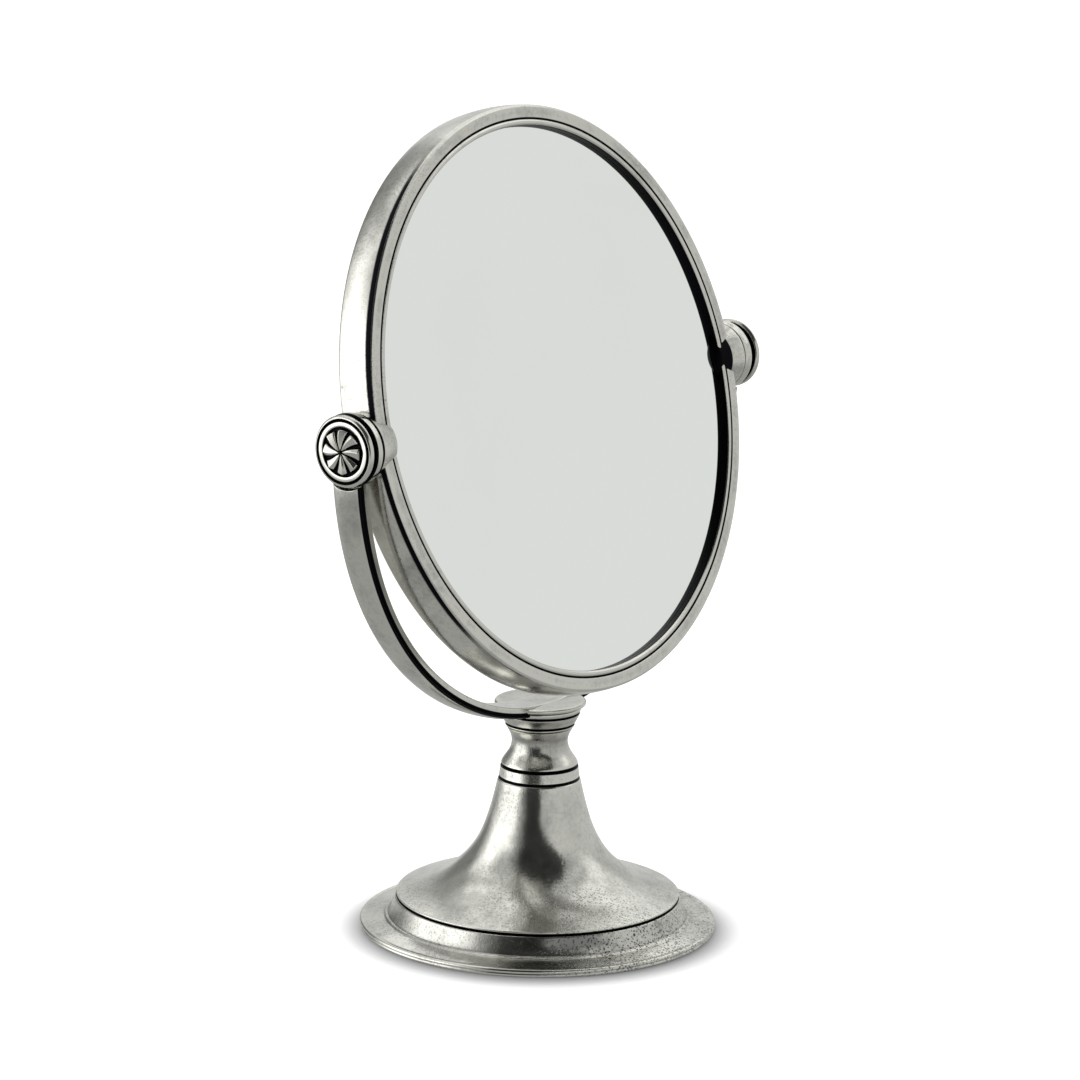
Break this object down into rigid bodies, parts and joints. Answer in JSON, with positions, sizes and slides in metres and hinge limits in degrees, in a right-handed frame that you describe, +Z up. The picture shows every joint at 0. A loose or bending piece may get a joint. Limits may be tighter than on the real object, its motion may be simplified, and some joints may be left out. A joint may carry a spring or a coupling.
{
  "type": "table shaving mirror",
  "caption": "Round pewter table mirror on a trumpet-shaped pedestal foot; the framed glass tilts between knobs on a half-round yoke.",
  "frame": {"origin": "bottom centre of the foot, on the surface it stands on", "axes": "+Z up along the pedestal, X along the pivot axis through both knobs, the glass faces -Y and, at rest, 14.8 degrees up"},
  "size_m": [0.243, 0.133, 0.3059],
  "materials": {
    "pewter": "hand-finished satin pewter with darkened grooves",
    "dark_pewter": "cast pewter, blackened recesses",
    "mirror_glass": "silvered flat glass",
    "felt": "pressed green felt",
    "steel": "plain machined steel",
    "cast_iron": "as cast",
    "brass": "turned brass",
    "board": "smooth hardboard",
    "leather": "thin washer leather"
  },
  "bodies": {
    "stand": {"base_felt": "felt", "base_plate": "steel", "base_flange": "pewter", "foot_bell": "pewter", "ballast_weight": "cast_iron", "tie_rod": "steel", "tie_washer": "steel", "tie_nut": "steel", "neck": "pewter", "neck_collar": "pewter", "yoke": "pewter", "yoke_pad": "pewter", "left_eye_bush": "brass", "right_eye_bush": "brass"},
    "mirror": {"mirror_frame": "pewter", "mirror_glass": "mirror_glass", "backing_felt": "felt", "backing_board": "board", "rear_cover": "pewter", "rear_cover_screws": "brass", "left_boss": "pewter", "right_boss": "pewter", "left_friction_washer": "leather", "right_friction_washer": "leather"},
    "left_knob_set": {"left_knob": "pewter", "left_rosette": "dark_pewter", "left_pivot_screw": "steel", "left_spring_washer": "steel"},
    "right_knob_set": {"right_knob": "pewter", "right_rosette": "dark_pewter", "right_pivot_screw": "steel", "right_spring_washer": "steel"}
  },
  "joints": [
    {"name": "mirror_tilt", "type": "hinge", "parent": "stand", "child": "mirror", "pos_m": [0, 0, 0.1996], "axis": [1, 0, 0], "continuous": true},
    {"name": "left_knob_turn", "type": "hinge", "parent": "mirror", "child": "left_knob_set", "pos_m": [-0.118, 0, 0.1996], "axis": [-1, 0, 0], "range_deg": [0, 180]},
    {"name": "right_knob_turn", "type": "hinge", "parent": "mirror", "child": "right_knob_set", "pos_m": [0.118, 0, 0.1996], "axis": [1, 0, 0], "range_deg": [0, 180]}
  ]
}
